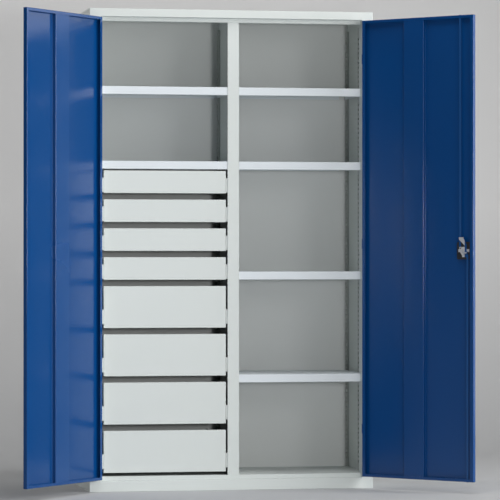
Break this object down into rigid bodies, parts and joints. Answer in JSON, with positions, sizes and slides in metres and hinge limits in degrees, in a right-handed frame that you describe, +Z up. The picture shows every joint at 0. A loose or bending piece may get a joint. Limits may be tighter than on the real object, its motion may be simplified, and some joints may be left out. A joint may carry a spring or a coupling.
{
  "type": "tool cabinet",
  "caption": "Tall steel tool cabinet with two hinged doors and a lever lock, a bay of drawers under shelves, and a bay of shelves beside it.",
  "frame": {"origin": "middle of the carcass on the floor", "axes": "+Z up, the open front looks along -Y, +X to the right seen from the front"},
  "size_m": [1.8557, 0.8823, 2],
  "materials": {
    "carcass_grey": "light grey powder coat, satin",
    "door_blue": "gentian blue powder coat, satin",
    "slide_zinc": "bright zinc plate",
    "lock_black": "black, fine grain"
  },
  "bodies": {
    "root": {"side_panel_left": "carcass_grey", "side_panel_right": "carcass_grey", "roof_panel": "carcass_grey", "plinth": "carcass_grey", "floor_panel": "carcass_grey", "back_panel": "carcass_grey", "partition": "carcass_grey", "floor_support": "carcass_grey", "slotted_uprights": "carcass_grey", "shelf_left_1": "carcass_grey", "shelf_left_2": "carcass_grey", "shelf_right_1": "carcass_grey", "shelf_right_2": "carcass_grey", "shelf_right_3": "carcass_grey", "shelf_right_4": "carcass_grey", "shelf_clips": "slide_zinc", "runner_brackets": "carcass_grey", "outer_slides": "slide_zinc", "frame_hinges": "carcass_grey", "hinge_pins": "slide_zinc"},
    "drawer_1": {"drawer_1": "carcass_grey", "drawer_1_inner_slides": "slide_zinc"},
    "drawer_1_slides": {"drawer_1_middle_slides": "slide_zinc"},
    "drawer_2": {"drawer_2": "carcass_grey", "drawer_2_inner_slides": "slide_zinc"},
    "drawer_2_slides": {"drawer_2_middle_slides": "slide_zinc"},
    "drawer_3": {"drawer_3": "carcass_grey", "drawer_3_inner_slides": "slide_zinc"},
    "drawer_3_slides": {"drawer_3_middle_slides": "slide_zinc"},
    "drawer_4": {"drawer_4": "carcass_grey", "drawer_4_inner_slides": "slide_zinc"},
    "drawer_4_slides": {"drawer_4_middle_slides": "slide_zinc"},
    "drawer_5": {"drawer_5": "carcass_grey", "drawer_5_inner_slides": "slide_zinc"},
    "drawer_5_slides": {"drawer_5_middle_slides": "slide_zinc"},
    "drawer_6": {"drawer_6": "carcass_grey", "drawer_6_inner_slides": "slide_zinc"},
    "drawer_6_slides": {"drawer_6_middle_slides": "slide_zinc"},
    "drawer_7": {"drawer_7": "carcass_grey", "drawer_7_inner_slides": "slide_zinc"},
    "drawer_7_slides": {"drawer_7_middle_slides": "slide_zinc"},
    "drawer_8": {"drawer_8": "carcass_grey", "drawer_8_inner_slides": "slide_zinc"},
    "drawer_8_slides": {"drawer_8_middle_slides": "slide_zinc"},
    "door_left": {"door_left_panel": "door_blue", "door_left_stiffener": "door_blue", "door_left_hinges": "door_blue"},
    "door_right": {"door_right_panel": "door_blue", "door_right_stiffener": "door_blue", "door_right_hinges": "door_blue", "handle_plate": "lock_black", "lock_case": "lock_black", "rod_guides": "lock_black"},
    "lock": {"lock_handle": "lock_black", "lock_cylinder": "slide_zinc", "lock_cam": "slide_zinc"},
    "upper_rod": {"upper_rod": "slide_zinc"},
    "lower_rod": {"lower_rod": "slide_zinc"}
  },
  "joints": [
    {"name": "drawer_1_slide", "type": "slide", "parent": "root", "child": "drawer_1", "axis": [0, -1, 0], "range_m": [0, 0.35]},
    {"name": "drawer_1_middle_slide", "type": "slide", "parent": "root", "child": "drawer_1_slides", "axis": [0, -1, 0], "range_m": [0, 0.175]},
    {"name": "drawer_2_slide", "type": "slide", "parent": "root", "child": "drawer_2", "axis": [0, -1, 0], "range_m": [0, 0.35]},
    {"name": "drawer_2_middle_slide", "type": "slide", "parent": "root", "child": "drawer_2_slides", "axis": [0, -1, 0], "range_m": [0, 0.175]},
    {"name": "drawer_3_slide", "type": "slide", "parent": "root", "child": "drawer_3", "axis": [0, -1, 0], "range_m": [0, 0.35]},
    {"name": "drawer_3_middle_slide", "type": "slide", "parent": "root", "child": "drawer_3_slides", "axis": [0, -1, 0], "range_m": [0, 0.175]},
    {"name": "drawer_4_slide", "type": "slide", "parent": "root", "child": "drawer_4", "axis": [0, -1, 0], "range_m": [0, 0.35]},
    {"name": "drawer_4_middle_slide", "type": "slide", "parent": "root", "child": "drawer_4_slides", "axis": [0, -1, 0], "range_m": [0, 0.175]},
    {"name": "drawer_5_slide", "type": "slide", "parent": "root", "child": "drawer_5", "axis": [0, -1, 0], "range_m": [0, 0.35]},
    {"name": "drawer_5_middle_slide", "type": "slide", "parent": "root", "child": "drawer_5_slides", "axis": [0, -1, 0], "range_m": [0, 0.175]},
    {"name": "drawer_6_slide", "type": "slide", "parent": "root", "child": "drawer_6", "axis": [0, -1, 0], "range_m": [0, 0.35]},
    {"name": "drawer_6_middle_slide", "type": "slide", "parent": "root", "child": "drawer_6_slides", "axis": [0, -1, 0], "range_m": [0, 0.175]},
    {"name": "drawer_7_slide", "type": "slide", "parent": "root", "child": "drawer_7", "axis": [0, -1, 0], "range_m": [0, 0.35]},
    {"name": "drawer_7_middle_slide", "type": "slide", "parent": "root", "child": "drawer_7_slides", "axis": [0, -1, 0], "range_m": [0, 0.175]},
    {"name": "drawer_8_slide", "type": "slide", "parent": "root", "child": "drawer_8", "axis": [0, -1, 0], "range_m": [0, 0.35]},
    {"name": "drawer_8_middle_slide", "type": "slide", "parent": "root", "child": "drawer_8_slides", "axis": [0, -1, 0], "range_m": [0, 0.175]},
    {"name": "door_left_hinge", "type": "hinge", "parent": "root", "child": "door_left", "pos_m": [-0.558, -0.225, 1.006], "axis": [0, 0, -1], "range_deg": [-130.85, 4.15]},
    {"name": "door_right_hinge", "type": "hinge", "parent": "root", "child": "door_right", "pos_m": [0.558, -0.225, 1.006], "axis": [0, 0, 1], "range_deg": [-132.6, 2.4]},
    {"name": "lock_turn", "type": "hinge", "parent": "door_right", "child": "lock", "pos_m": [0.90253, -0.59967, 0.997], "axis": [0.7361, 0.6769, 0], "range_deg": [-90, 0]},
    {"name": "upper_rod_slide", "type": "slide", "parent": "door_right", "child": "upper_rod", "axis": [0, 0, 1], "range_m": [0, 0.0185]},
    {"name": "lower_rod_slide", "type": "slide", "parent": "door_right", "child": "lower_rod", "axis": [0, 0, -1], "range_m": [0, 0.0185]}
  ],
  "couplings": [
    {"joint": "drawer_1_middle_slide", "follows": "drawer_1_slide", "ratio": 0.5},
    {"joint": "drawer_2_middle_slide", "follows": "drawer_2_slide", "ratio": 0.5},
    {"joint": "drawer_3_middle_slide", "follows": "drawer_3_slide", "ratio": 0.5},
    {"joint": "drawer_4_middle_slide", "follows": "drawer_4_slide", "ratio": 0.5},
    {"joint": "drawer_5_middle_slide", "follows": "drawer_5_slide", "ratio": 0.5},
    {"joint": "drawer_6_middle_slide", "follows": "drawer_6_slide", "ratio": 0.5},
    {"joint": "drawer_7_middle_slide", "follows": "drawer_7_slide", "ratio": 0.5},
    {"joint": "drawer_8_middle_slide", "follows": "drawer_8_slide", "ratio": 0.5},
    {"joint": "upper_rod_slide", "follows": "lock_turn", "m_per_rad": -0.011714},
    {"joint": "lower_rod_slide", "follows": "lock_turn", "m_per_rad": -0.011714}
  ]
}
